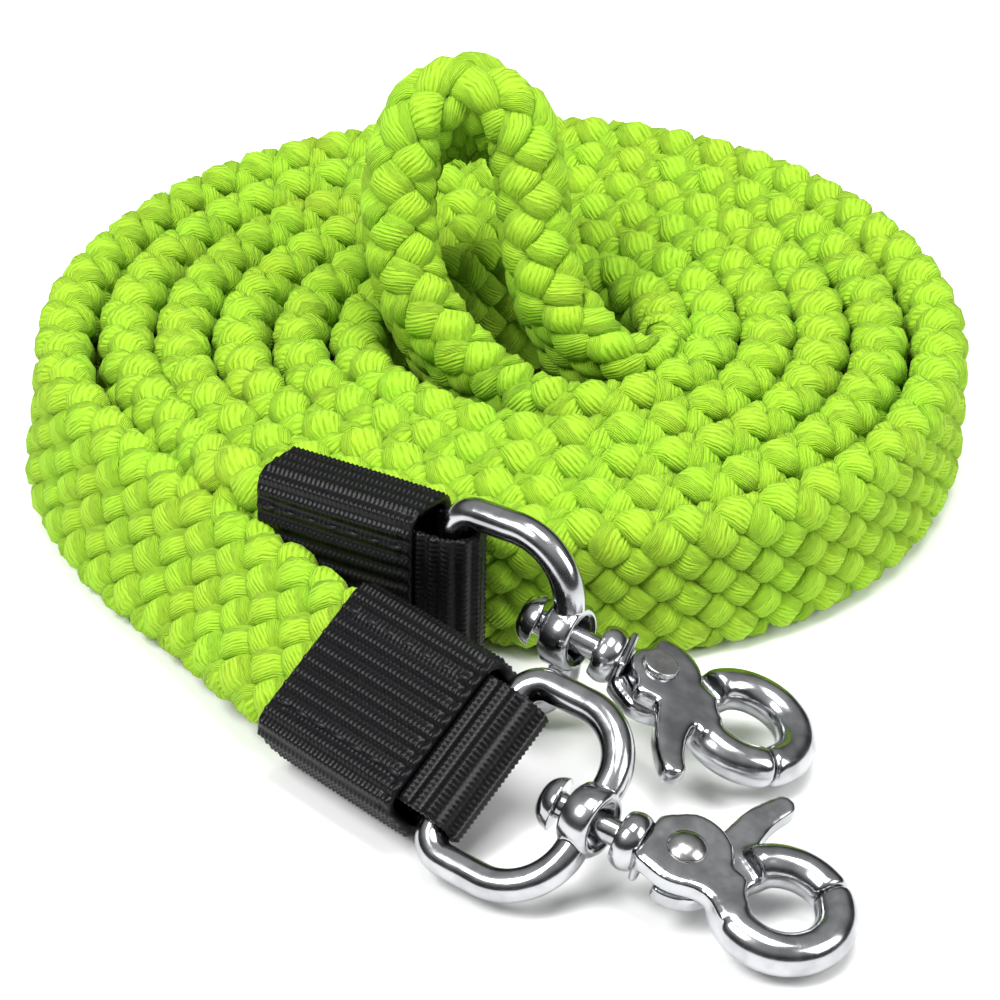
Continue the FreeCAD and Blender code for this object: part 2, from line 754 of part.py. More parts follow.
# ---------------------------------------------------------------- build and write
make_coil()
make_bight()
for inner_rope, (side, end) in enumerate(ENDS.items()):
    make_lead(f"rope_lead_{side}", end, inner_rope)
    make_cuff(f"webbing_cuff_{side}", end)
    make_loop(f"webbing_loop_{side}", end)
    make_stitching(f"cuff_stitching_{side}", end)
    make_ring(f"d_ring_{side}", end)
    make_stem(f"swivel_stem_{side}", end)
    make_fixed_jaw(f"fixed_jaw_{side}", end)
    make_moving_jaw(f"moving_jaw_{side}", end)
    make_rivet(f"jaw_rivet_{side}", end)
    make_spring(f"jaw_spring_{side}", end)
doc.recompute()

for item in doc.Objects:
    if any(word in item.State for word in ("Invalid", "Error")):
        raise RuntimeError(f"{item.Name} did not build: {item.State}")
for item in NODES:
    shape = item.Shape
    if shape.isNull() or not shape.isValid():
        raise RuntimeError(f"{item.Label}: its shape is null or not valid")
    box = shape.optimalBoundingBox()
    print(f"{item.Label}: {len(shape.Solids)} solids, volume {shape.Volume:.1f}, "
          f"z {box.ZMin:.2f} to {box.ZMax:.2f}")
for side, end in ENDS.items():
    ring_axis = ring_placement(end).Rotation.multVec(V(1, 0, 0))
    stem_axis = snap_placement(end).Rotation.multVec(V(1, 0, 0))
    print(f"{side}: the stem leans {math.degrees(ring_axis.getAngle(stem_axis)):.1f} degrees in its eye")
for item in NODES:
    item.Shape.exportStep(f"parts/{item.Label}.step")
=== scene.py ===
"""Lead rope: a flat braid laid in a double spiral, with webbing ends, D-rings and trigger snaps.

The CAD frame is loaded first. The rope's, the webbing's and the metal's sizes are in
millimetres until MM turns them into metres; the camera's and the room's are in metres.
Angles are in degrees until they are turned into radians.
"""
import math
import bmesh
import bpy
import numpy as np
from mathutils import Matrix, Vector


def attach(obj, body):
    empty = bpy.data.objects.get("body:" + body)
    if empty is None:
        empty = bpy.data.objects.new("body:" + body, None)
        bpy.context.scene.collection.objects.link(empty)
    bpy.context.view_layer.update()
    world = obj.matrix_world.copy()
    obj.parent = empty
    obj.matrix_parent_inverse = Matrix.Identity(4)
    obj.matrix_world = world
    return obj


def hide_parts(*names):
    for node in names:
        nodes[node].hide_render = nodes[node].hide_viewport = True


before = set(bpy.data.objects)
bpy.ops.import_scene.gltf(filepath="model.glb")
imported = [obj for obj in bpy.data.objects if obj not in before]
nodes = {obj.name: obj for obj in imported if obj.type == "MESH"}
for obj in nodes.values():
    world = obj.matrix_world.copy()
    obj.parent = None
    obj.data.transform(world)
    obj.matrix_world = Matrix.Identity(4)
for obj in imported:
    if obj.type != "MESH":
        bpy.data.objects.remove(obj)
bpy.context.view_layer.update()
MM = 0.001

# ---------------------------------------------------------------- the rope's sizes, as in the CAD
WIDTH = 26.0
THICKNESS = 9.5
COIL_RADIUS = 76.2
LEAD_TURNS = -35.0 / 360.0
CUFF_LENGTH = 28.5
CUFF_HALF = (6.2, 14.4)
LOOP_REACH = 4.0

# Where the front end presses the coil in: depth, middle angle and spread
DENT = 8.3
DENT_ANGLE = 240.0
DENT_SPREAD = 36.0

# Bumps of the outer turns and of the inner ones: middle angle, spread and millimetres outward
OVAL = ((180.0, 40.0, 2.9), (-25.0, 55.0, 3.4), (95.0, 35.0, -2.6))
INNER_BUMP = (5.0, 55.0, 3.6)

# A rope's end: the middle of its cuff's mouth and the way it points
ENDS = {
    "front": {"mouth": (-31.3, -82.2, 13.3), "heading": -45.0, "pitch": 0.0, "roll": 57.0},
    "rear": {"mouth": (-39.6, -51.9, 16.4), "heading": -32.0, "pitch": -2.5, "roll": 6.0},
}

# The route's spline: control points to the turn, and drawn steps between two of them
TURN_POINTS = 18
CURVE_STEPS = 8

# The outer turn's lean where it leaves for the front cuff: how much it is, the turn at which
# it ends, and the part of a turn that it takes
TIP_LEAN = 0.34
TIP_END = 0.02
TIP_SPAN = 0.08

# The standing bight's plane: Y and Z of its foot, cosine and sine of its lean, the lean itself,
# and how far the rope turns out of it at the top
BIGHT_FOOT = (-10.75, 13.5)
LEAN_COS = 0.5
LEAN_SIN = 0.866
LEAN_ANGLE = 60.0
TOP_TURN = 32.0

# The height at which the rope comes loose, the rise over which it does, and how much it
# narrows and thickens on each side
LOOSE_FROM = 17.0
LOOSE_SPAN = 14.0
LOOSE_NARROWER = 0.5
LOOSE_THICKER = 1.35


# ---------------------------------------------------------------- camera
# Lens and sensor in millimetres, places in metres
LENS = 132.9
SENSOR = 36.0
CAMERA_AT = (-0.00485, -0.5296, 0.3455)
CAMERA_AIM = (-0.00485, -0.0322, 0.010)


def add_camera():
    """The photo's camera: a long lens, 34 degrees above the ground."""
    data = bpy.data.cameras.new("camera")
    data.lens = LENS
    data.sensor_width = SENSOR
    data.clip_start = 0.01
    camera = bpy.data.objects.new("camera", data)
    bpy.context.scene.collection.objects.link(camera)
    camera.location = CAMERA_AT
    aim = Vector(CAMERA_AIM) - camera.location
    camera.rotation_euler = aim.to_track_quat("-Z", "Y").to_euler()
    bpy.context.scene.camera = camera


# ---------------------------------------------------------------- frames and routes
def end_axes(end):
    """X along the rope out of the coil, Z across its width, Y through its thickness."""
    h, p, r = (math.radians(end[k]) for k in ("heading", "pitch", "roll"))
    along = np.array([math.cos(h) * math.cos(p), math.sin(h) * math.cos(p), -math.sin(p)])
    right = np.cross(along, (0, 0, 1))
    right /= np.linalg.norm(right)
    upright = np.cross(right, along)
    across = upright * math.cos(r) - right * math.sin(r)
    return along, np.cross(across, along), across


def end_points(end, local):
    """Points given in an end's own frame, in the row's."""
    x, y, z = end_axes(end)
    local = np.atleast_2d(np.asarray(local, float))
    return np.array(end["mouth"]) + local[:, :1] * x + local[:, 1:2] * y + local[:, 2:] * z


def limited(value):
    """A number brought into 0 to 1."""
    return min(1.0, max(0.0, value))


def angle_bump(angle, middle, spread):
    """A smooth bump of height 1 about an angle."""
    off = (angle - middle + 180.0) % 360.0 - 180.0
    return math.exp(-(off / spread) ** 2)


def coil_reach(turns, inner_rope):
    """Radius of a rope's middle; turns count clockwise from the left side, inward.

    A layer is one rope's thickness, counted from the outside. The dent fades in over the
    first layer and out by layer 6.5, the inner bump grows from layer 2.5 on, and the oval
    ends at layer 5.
    """
    layer = 2.0 * turns + inner_rope
    angle = 180.0 - 360.0 * turns
    fade = limited((layer + 0.25) / 1.25) * limited((6.5 - layer) / 5.0)
    dent = DENT * angle_bump(angle, DENT_ANGLE, DENT_SPREAD) * fade
    middle, spread, amount = INNER_BUMP
    ease = amount * max(0.0, (layer - 2.5) / 3.5) * angle_bump(angle, middle, spread)
    outer = max(0.0, 1.0 - layer / 5.0)
    for middle, spread, amount in OVAL:
        ease += outer * amount * angle_bump(angle, middle, spread)
    return COIL_RADIUS - THICKNESS * layer - dent + ease


def coil_turns(start, stop, inner_rope):
    """Control points of a rope's turns, with the rope's width upright."""
    count = int(round(abs(stop - start) * TURN_POINTS))
    made = []
    for k in range(count + 1):
        t = start + (stop - start) * k / count
        reach = coil_reach(t, inner_rope) / math.cos(math.pi / TURN_POINTS)
        angle = math.radians(180.0 - 360.0 * t)
        x, y = math.cos(angle), math.sin(angle)
        tip = TIP_LEAN * limited((TIP_END - t) / TIP_SPAN)
        made.append(((reach * x, reach * y, WIDTH / 2), (-tip * x, -tip * y, 1)))
    return made


def lean(x, slope):
    """A point of the standing bight's plane, which leans back, and the rope's width there."""
    y, z = BIGHT_FOOT
    return (x, y + LEAN_COS * slope, z + LEAN_SIN * slope), (0, -LEAN_SIN, LEAN_COS)


def arch(x, slope, turned):
    """The same at the bight's top, where the rope's far edge hangs lower."""
    angle = math.radians(LEAN_ANGLE - TOP_TURN * turned)
    return lean(x, slope)[0], (0, -math.sin(angle), math.cos(angle))


def rope_route():
    """The whole rope from inside the front cuff to inside the rear one."""
    front, rear = ENDS["front"], ENDS["rear"]
    roll = {k: end_axes(e)[2] for k, e in ENDS.items()}
    route = [(end_points(front, (x, 0, 0))[0], roll["front"]) for x in (14, 2, -9)]
    route += [((-48.8, -59.2, 12.2), (0.50, 0.48, 0.72)),
              ((-60.2, -47.0, 11.9), (0.54, 0.27, 0.79)),
              ((-70.0, -33.0, 12.0), (0.44, 0.10, 0.89))]
    route += coil_turns(-0.03, 2.66, 0)
    route += [((3.0, -21.8, 13.2), (0, -0.05, 1)),
              ((-5.5, -14.2, 16.2), (0, -0.30, 0.95)),
              ((-13.0, -8.6, 22.5), (0, -0.55, 0.83)),
              ((-19.0, -2.6, 29.6), (0, -0.75, 0.66)),
              lean(-21.5, 29.0), lean(-21.7, 38.5),
              arch(-18.6, 47.3, 0.6), arch(-10.3, 51.0, 1.0), arch(-2.0, 47.3, 0.6),
              lean(0.5, 38.5), lean(1.0, 30.0),
              ((2.6, -0.4, 32.0), (0, -0.80, 0.6)),
              ((6.8, -4.6, 25.0), (0, -0.60, 0.8)),
              ((13.5, -8.6, 18.4), (0, -0.36, 0.93)),
              ((20.3, -7.6, 14.4), (0, -0.12, 1)),
              ((23.8, -0.5, 13.1), (0, 0, 1))]
    route += coil_turns(2.44, LEAD_TURNS, 1)
    route += [(end_points(rear, (x, 0, 0))[0], roll["rear"]) for x in (-9, 1, 12)]
    return route


def smooth_line(route):
    """The route's NURBS spline as dense points, with the rope's width direction at each."""
    data = bpy.data.curves.new("rope_line", "CURVE")
    data.dimensions = "3D"
    data.resolution_u = CURVE_STEPS
    spline = data.splines.new("NURBS")
    spline.points.add(len(route) - 1)
    for point, (place, _) in zip(spline.points, route):
        point.co = (*(float(v) * MM for v in place), 1.0)
    spline.order_u = 3
    spline.use_endpoint_u = True
    holder = bpy.data.objects.new("rope_line", data)
    bpy.context.scene.collection.objects.link(holder)
    bpy.context.view_layer.update()
    mesh = bpy.data.meshes.new_from_object(holder)
    line = np.array([v.co for v in mesh.vertices], float) / MM
    bpy.data.objects.remove(holder)
    bpy.data.meshes.remove(mesh)
    count = len(route)
    at = np.clip(np.arange(count) - 0.5, 0, count - 2)
    where = np.linspace(0, count - 2, len(line))
    widths = np.array([w for _, w in route], float)
    across = np.stack([np.interp(where, at, widths[:, k]) for k in range(3)], axis=1)
    return line, across


class Rope:
    """Positions on and about the rope's middle line, by distance along it."""

    def __init__(self):
        line, across = smooth_line(rope_route())
        steps = np.linalg.norm(np.diff(line, axis=0), axis=1)
        self.s = np.concatenate([[0], np.cumsum(steps)])
        self.length = float(self.s[-1])
        self.line = line
        along = np.gradient(line, self.s, axis=0)
        along /= np.linalg.norm(along, axis=1)[:, None]
        across -= along * np.sum(across * along, axis=1)[:, None]
        across /= np.linalg.norm(across, axis=1)[:, None]
        self.across = across
        self.through = np.cross(across, along)
        rise = np.clip((line[:, 2] - LOOSE_FROM) / LOOSE_SPAN, 0, 1)
        self.loose = rise * rise * (3 - 2 * rise)

    def at(self, table, s):
        """Rows of one of the rope's tables at distance s."""
        return np.stack([np.interp(s, self.s, table[:, k]) for k in range(3)], axis=-1)

    def place(self, s, flat, proud):
        """Points at distance s, flat across the width and proud through the thickness."""
        s = np.clip(s, 0, self.length)
        return (self.at(self.line, s) + self.at(self.across, s) * flat[..., None]
                + self.at(self.through, s) * proud[..., None])


def flat_section(share, half_width, half_thickness, out):
    """A point on a flat section with round edges, by share of its girth, lifted by out."""
    flat = half_width - half_thickness
    straight = 2 * flat
    turn = math.pi * half_thickness
    way = (share % 1.0) * (2 * straight + 2 * turn)
    radius = half_thickness + out
    bend = np.clip((way - straight) / half_thickness, 0, math.pi)
    bend = bend + np.clip((way - 2 * straight - turn) / half_thickness, 0, math.pi)
    slide = np.clip(way, 0, straight) - np.clip(way - straight - turn, 0, straight)
    return slide - flat + radius * np.sin(bend), radius * np.cos(bend)


# ---------------------------------------------------------------- mesh helpers
def new_object(name, points, faces, body, uv=None):
    """A smooth mesh in the row's frame that rides on a body; points in millimetres."""
    mesh = bpy.data.meshes.new(name)
    mesh.vertices.add(len(points))
    mesh.vertices.foreach_set("co", (np.asarray(points, float) * MM).astype(np.float32).ravel())
    faces = np.asarray(faces, np.int32)
    starts = np.arange(0, faces.size, faces.shape[1], dtype=np.int32)
    mesh.loops.add(faces.size)
    mesh.loops.foreach_set("vertex_index", faces.ravel())
    mesh.polygons.add(len(faces))
    mesh.polygons.foreach_set("loop_start", starts)
    mesh.update(calc_edges=True)
    mesh.shade_smooth()
    if uv is not None:
        layer = mesh.uv_layers.new(name="UVMap")
        layer.data.foreach_set("uv", np.asarray(uv, np.float32)[faces.ravel()].ravel())
    made = bpy.data.objects.new(name, mesh)
    bpy.context.scene.collection.objects.link(made)
    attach(made, body)
    return made


def grid_faces(rows, columns, start=0):
    """Quads of a grid of rows by columns, closed round each row."""
    r = np.arange(rows - 1)[:, None]
    c = np.arange(columns)[None, :]
    n = (c + 1) % columns
    a = r * columns + c
    b = r * columns + n
    return np.stack([a, b, b + columns, a + columns], axis=-1).reshape(-1, 4) + start


# ---------------------------------------------------------------- the braid
# Strands that run each way, and the rope's length from one crossing to the next
STRANDS = 7
COLUMN = 4.0

# One strand: half its width and thickness, how square it is, its dome and points round it
HALF_WIDE = 2.75
HALF_THICK = 1.4
SQUARE_WIDE = 0.72
SQUARE_THICK = 0.8
DOME = 0.2
RING = 14

# How far strands pass over and under, how sharply, and how much they stray from it
LIFT = 1.12
STEEP = 1.9
STRAY_LIFT = 0.18
STRAY_WIDTH = 0.07

ROWS_PER_MM = 0.8
UV_PER_MM = 0.1
CORE_INSET = 2.4
CORE_COLUMNS = 20


def wander(s, seed):
    """A slow, smooth, repeatable variation along a strand, about -1 to 1."""
    return (np.sin(s / 7.3 + seed * 2.1) + np.sin(s / 17.9 + seed * 5.3) * 0.8
            + np.sin(s / 3.9 + seed * 3.7) * 0.5) / 2.3


def section_at(rope, s, inset):
    """Half width and half thickness: the braid is fuller where nothing squeezes it."""
    loose = np.interp(s, rope.s, rope.loose)[:, None]
    return (WIDTH / 2 - LOOSE_NARROWER * loose - inset,
            THICKNESS / 2 + LOOSE_THICKER * loose - inset)


def add_strands(rope, name, side, chosen):
    """Flat strands that run round the rope one way, over and under those of the other way."""
    rate = 1.0 / (2 * STRANDS * COLUMN)
    rows = int(rope.length * ROWS_PER_MM)
    s = np.linspace(0, rope.length, rows)
    base_w, base_t = section_at(rope, s, LIFT + HALF_THICK)
    girth = 4 * (base_w - base_t) + 2 * math.pi * base_t
    slant = math.atan(float(girth.mean()) * rate)
    ring = np.arange(RING) / RING * 2 * math.pi
    lateral = np.sign(np.cos(ring)) * np.abs(np.cos(ring)) ** SQUARE_WIDE * HALF_WIDE
    height = np.sign(np.sin(ring)) * np.abs(np.sin(ring)) ** SQUARE_THICK * HALF_THICK
    dome = DOME * (1 - (lateral / HALF_WIDE) ** 2)
    around = np.cumsum(np.hypot(np.diff(lateral, append=lateral[0]),
                                np.diff(height, append=height[0])))
    points, faces, uvs = [], [], []
    for index, strand in enumerate(chosen):
        seed = strand + 11 * side
        share = strand / STRANDS + side * s * rate
        wave = np.cos(2 * math.pi * STRANDS * share) * side
        lift = LIFT * np.tanh(STEEP * wave) / math.tanh(STEEP) + STRAY_LIFT * wander(s, seed)
        plump = 1.0 + STRAY_WIDTH * wander(s, seed + 40.0)
        q = lateral[None, :] * plump[:, None]
        across = q * math.cos(slant)
        down = -side * q * math.sin(slant)
        shares = share[:, None] + across / girth
        out = (lift[:, None] + height[None, :] * plump[:, None]
               + dome[None, :] * np.sign(lift)[:, None])
        flat, proud = flat_section(shares, base_w, base_t, out)
        points.append(rope.place(s[:, None] + down, flat, proud).reshape(-1, 3))
        faces.append(grid_faces(rows, RING, index * rows * RING))
        u = np.broadcast_to((around + seed * 1.7)[None, :], (rows, RING))
        v = np.broadcast_to((s / math.cos(slant) + seed * 9.1)[:, None], (rows, RING))
        uvs.append(np.stack([u, v], axis=-1).reshape(-1, 2))
    return new_object(name, np.concatenate(points), np.concatenate(faces), "rope",
                      np.concatenate(uvs) * UV_PER_MM)


def add_core(rope):
    """The braid's shaded inside, a plain flat tube under the strands, closed at both ends."""
    columns = CORE_COLUMNS
    s = rope.s
    share = np.broadcast_to(np.arange(columns)[None, :] / columns, (len(s), columns))
    half_width, half_thickness = section_at(rope, s, CORE_INSET)
    flat, proud = flat_section(share, half_width, half_thickness, np.zeros_like(share))
    points = rope.place(np.broadcast_to(s[:, None], share.shape), flat, proud).reshape(-1, 3)
    core = new_object("rope_core", points, grid_faces(len(s), columns), "rope")
    work = bmesh.new()
    work.from_mesh(core.data)
    work.verts.ensure_lookup_table()
    first = range(columns)[::-1]
    last = range((len(s) - 1) * columns, len(s) * columns)
    for cap in (first, last):
        work.faces.new([work.verts[i] for i in cap])
    work.to_mesh(core.data)
    work.free()
    return core


# ---------------------------------------------------------------- webbing
# The weave: distance between ribs and between teeth, their heights, and how narrow a rib's
# row of teeth is, as a share of RIB
RIB = 2.4
TOOTH = 0.84
RIB_HEIGHT = 0.24
TOOTH_HEIGHT = 0.13
RIDGE = 0.22

# The cuff: its corners' radius, wall, points round it and spacing of rows; how far it bulges
# between its ends, how deep its end seam is and where, and how deep the thread pulls it in
CUFF_CORNER = 3.4
CUFF_WALL = 1.2
CUFF_COLUMNS = 340
CUFF_STEP = 0.21
CUFF_BULGE = 0.25
SEAM_DEPTH = 0.20
SEAM_AT = 26.8
STITCH_DIP = 0.28

# The strip: start inside the cuff, radius of its turn, half width and thickness, and its grid
LOOP_START = 4.0
LOOP_TURN = 4.2
LOOP_HALF_WIDE = 11.3
LOOP_HALF_THICK = 0.58
LOOP_CORNER = 0.5
LOOP_STEP = 0.23
LOOP_COLUMNS = 210

# The stitches: rows across the cuff, stitches to a row, the first one's place and the pitch,
# half a stitch's length, its radius, its height over the rope's middle, and its mesh's grid
STITCH_ROWS = (-8.6, 8.6)
STITCHES = 7
STITCH_FIRST = 2.55
STITCH_PITCH = 3.9
STITCH_HALF = 1.3
STITCH_RADIUS = 0.42
STITCH_LEVEL = 6.02
STITCH_GRID = (7, 10)


def relief(across, along):
    """Height of ribbed webbing: soft ribs, each of small teeth set half a step apart."""
    rib = np.cos(2 * math.pi * across / RIB)
    step = np.floor(across / RIB + 0.5)
    teeth = np.cos(2 * math.pi * along / TOOTH + math.pi * step)
    ridge = np.exp(-((np.abs((across / RIB + 0.5) % 1.0 - 0.5)) / RIDGE) ** 2)
    return RIB_HEIGHT * rib + TOOTH_HEIGHT * teeth * (0.3 + 0.7 * ridge)


def rounded_box(way, x, y, r):
    """Point and outward normal at a distance round a rectangle with round corners."""
    upright, level, bend = 2 * (y - r), 2 * (x - r), (0.5 * math.pi * r, None)
    sides = [(upright, (1, 0)), bend, (level, (0, 1)), bend,
             (upright, (-1, 0)), bend, (level, (0, -1)), bend]
    corners = [(x - r, y - r, 0.0), (r - x, y - r, 0.5), (r - x, r - y, 1.0), (x - r, r - y, 1.5)]
    total = sum(length for length, _ in sides)
    way = way % total
    px, py, nx, ny = (np.zeros_like(way) for _ in range(4))
    start = 0.0
    for k, (length, normal) in enumerate(sides):
        here = (way >= start - 1e-9) & (way <= start + length + 1e-9)
        d = way - start
        if normal is None:
            cx, cy, begin = corners[k // 2]
            angle = math.pi * begin + d / r
            normal_x, normal_y = np.cos(angle), np.sin(angle)
            values = (cx + r * normal_x, cy + r * normal_y, normal_x, normal_y)
        else:
            u, v = normal
            side_x = u * x - v * (d - (x - r)) if v else np.full_like(way, u * x)
            side_y = v * y + u * (d - (y - r)) if u else np.full_like(way, v * y)
            values = (side_x, side_y, np.full_like(way, u), np.full_like(way, v))
        for store, value in zip((px, py, nx, ny), values):
            store[here] = value[here]
        start += length
    return px, py, nx, ny, total


def add_cuff(side):
    """Webbing wrapped round the rope's end, with its ribs along the rope."""
    end = ENDS[side]
    total = rounded_box(np.zeros(1), *CUFF_HALF, CUFF_CORNER)[4]
    way = np.arange(CUFF_COLUMNS) / CUFF_COLUMNS * total
    lip = [(1.6, CUFF_WALL), (0.45, CUFF_WALL), (0.1, 0.85), (0.0, 0.5), (0.1, 0.2), (0.35, 0.02)]
    face = [(x, 0.0) for x in np.arange(0.6, CUFF_LENGTH - 0.5, CUFF_STEP)]
    fold = [(0.35, 0.02), (0.08, 0.25), (0.0, 0.6), (0.1, 1.1), (0.5, 1.6)]
    profile = lip + face + [(CUFF_LENGTH - x, inset) for x, inset in fold]
    px, py, nx, ny, _ = rounded_box(way, *CUFF_HALF, CUFF_CORNER)
    points = []
    for x, inset in profile:
        flat = 1.0 if inset < 0.01 else max(0.0, 1 - inset * 4)
        lift = relief(way, np.full_like(way, x)) * flat - inset - 0.1
        bulge = CUFF_BULGE * math.sin(math.pi * x / CUFF_LENGTH) - 0.1
        lift = lift + bulge * np.abs(nx)
        seam = SEAM_DEPTH * np.exp(-((x - SEAM_AT) / 0.7) ** 2)
        lift = lift - seam * np.abs(nx)
        for row in STITCH_ROWS:
            dip = STITCH_DIP * np.exp(-((py - row) / 0.8) ** 2) * np.abs(nx)
            lift = lift - dip * (3 < x < 26)
        points.append(np.stack([np.full_like(way, x), px + nx * lift, py + ny * lift], axis=-1))
    placed = end_points(end, np.concatenate(points))
    faces = grid_faces(len(profile), CUFF_COLUMNS)
    cuff = new_object(f"cuff_{side}", placed, faces, "rope")
    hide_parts(f"webbing_cuff_{side}")
    return cuff


def add_loop(side):
    """Webbing strip out of the cuff, round the D-ring's bar and back, ribs across it."""
    bar = CUFF_LENGTH + LOOP_REACH
    straight = bar - LOOP_START
    turn = math.pi * LOOP_TURN
    way = np.arange(0, 2 * straight + turn, LOOP_STEP)
    angle = np.clip((way - straight) / LOOP_TURN, 0, math.pi)
    bent = np.where(way > straight + turn, bar - (way - straight - turn),
                    bar + LOOP_TURN * np.sin(angle))
    x = np.where(way < straight, LOOP_START + way, bent)
    y = LOOP_TURN * np.cos(angle)
    nx, ny = np.sin(angle), np.cos(angle)
    section = (LOOP_HALF_THICK, LOOP_HALF_WIDE, LOOP_CORNER)
    total = rounded_box(np.zeros(1), *section)[4]
    around = np.arange(LOOP_COLUMNS) / LOOP_COLUMNS * total
    t, z, tn, zn, _ = rounded_box(around, *section)
    bump = relief(way[:, None] + 0.6, z[None, :]) * np.abs(tn)[None, :]
    outward = t[None, :] + bump * np.sign(tn)[None, :]
    edge_teeth = np.cos(2 * math.pi * way / TOOTH)[:, None] * np.abs(zn)[None, :]
    px = x[:, None] + nx[:, None] * outward
    py = y[:, None] + ny[:, None] * outward
    pz = z[None, :] * (1 + 0.012 * edge_teeth)
    local = np.stack([px, py, pz], axis=-1).reshape(-1, 3)
    faces = grid_faces(len(way), LOOP_COLUMNS)
    loop = new_object(f"loop_{side}", end_points(ENDS[side], local), faces, "rope")
    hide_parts(f"webbing_loop_{side}")
    return loop


def stitch(face, row, centre, slip):
    """One stitch in an end's own frame: a short thread, thick and high in its middle."""
    rings, columns = STITCH_GRID
    local = []
    for k in range(rings):
        a = -1 + 2 * k / (rings - 1)
        radius = STITCH_RADIUS * math.sqrt(max(0.02, 1 - a * a))
        level = STITCH_LEVEL + 0.22 * (1 - a * a)
        for b in np.arange(columns) / columns * 2 * math.pi:
            local.append((centre + STITCH_HALF * a, face * (level + radius * math.sin(b) * 0.8),
                          row + slip * a + radius * math.cos(b)))
    return local


def add_stitches(side):
    """Two rows of thread on each face of the cuff."""
    rings, columns = STITCH_GRID
    points, faces = [], []
    for face in (-1, 1):
        for row in STITCH_ROWS:
            for index in range(STITCHES):
                centre = STITCH_FIRST + index * STITCH_PITCH
                slip = 0.12 * math.sin(index * 2.3 + row + face)
                faces.append(grid_faces(rings, columns, len(points) * rings * columns))
                points.append(end_points(ENDS[side], stitch(face, row, centre, slip)))
    thread = new_object(f"stitches_{side}", np.concatenate(points), np.concatenate(faces),
                        "rope")
    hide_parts(f"cuff_stitching_{side}")
    return thread


# ---------------------------------------------------------------- metal
# Points this near are one point, in metres; edges sharper than this stay sharp
WELD = 2e-6
SHARP = 38.0

# How castings are rounded: voxel size, smoothing passes and the skin put back after them
JAW_CAST = (0.24, 100, 0.14)
STEM_CAST = (0.16, 3)
RIVET_CAST = (0.13, 3)
AS_DRAWN = (0, 0)


def soft_copy(node, body, slot, voxel, passes, regrow=0.0):
    """A copy of a CAD piece with its edges rounded as a cast and polished one's are."""
    made = nodes[node].copy()
    made.data = nodes[node].data.copy()
    for key in list(made.keys()):
        del made[key]
    made.name = node + "_cast"
    made.parent = None
    made.hide_render = made.hide_viewport = False
    bpy.context.scene.collection.objects.link(made)
    weld = made.modifiers.new("weld", "WELD")
    weld.merge_threshold = WELD
    if voxel:
        remesh = made.modifiers.new("remesh", "REMESH")
        remesh.mode = "VOXEL"
        remesh.voxel_size = voxel * MM
        smooth = made.modifiers.new("smooth", "SMOOTH")
        smooth.factor = 0.5
        smooth.iterations = passes
        if regrow:
            swell = made.modifiers.new("regrow", "DISPLACE")
            swell.strength = regrow * MM
            swell.mid_level = 0.0
    bpy.context.view_layer.update()
    depsgraph = bpy.context.evaluated_depsgraph_get()
    mesh = bpy.data.meshes.new_from_object(made.evaluated_get(depsgraph))
    made.modifiers.clear()
    made.data = mesh
    mesh.shade_smooth()
    if not voxel:
        mesh.set_sharp_from_angle(angle=math.radians(SHARP))
    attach(made, body)
    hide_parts(node)
    return made


# ---------------------------------------------------------------- materials
def set_inputs(node, values):
    """Set a node's inputs by name or by number."""
    for key, value in values.items():
        node.inputs[key].default_value = value


def material(name, values):
    """A new material, its node tree, and its shader with these values."""
    made = bpy.data.materials.new(name)
    made.use_nodes = True
    shader = made.node_tree.nodes["Principled BSDF"]
    set_inputs(shader, values)
    return made, made.node_tree, shader


def add_node(tree, kind, source=None, into="Vector", values=None, **options):
    """A node fed by a source, with its options and the values of its other inputs."""
    made = tree.nodes.new(kind)
    for key, value in options.items():
        setattr(made, key, value)
    set_inputs(made, values or {})
    if source is not None:
        tree.links.new(source, made.inputs[into])
    return made


def add_noise(tree, source, values):
    """The grey output of a noise texture."""
    return add_node(tree, "ShaderNodeTexNoise", source, values=values).outputs["Fac"]


def add_ramp(tree, source, first, last, *between):
    """The colour of a ramp; each stop is a position and a colour, the two outer ones first."""
    ramp = add_node(tree, "ShaderNodeValToRGB", source, into="Fac")
    elements = ramp.color_ramp.elements
    for element, (place, colour) in zip(elements, (first, last)):
        element.position = place
        element.color = (*colour, 1)
    for place, colour in between:
        elements.new(place).color = (*colour, 1)
    return ramp.outputs["Color"]


def add_bump(tree, shader, height, strength, distance):
    """Let a height rough up a shader's surface; the distance is in metres."""
    bump = add_node(tree, "ShaderNodeBump", height, into="Height",
                    values={"Strength": strength, "Distance": distance})
    tree.links.new(bump.outputs["Normal"], shader.inputs["Normal"])


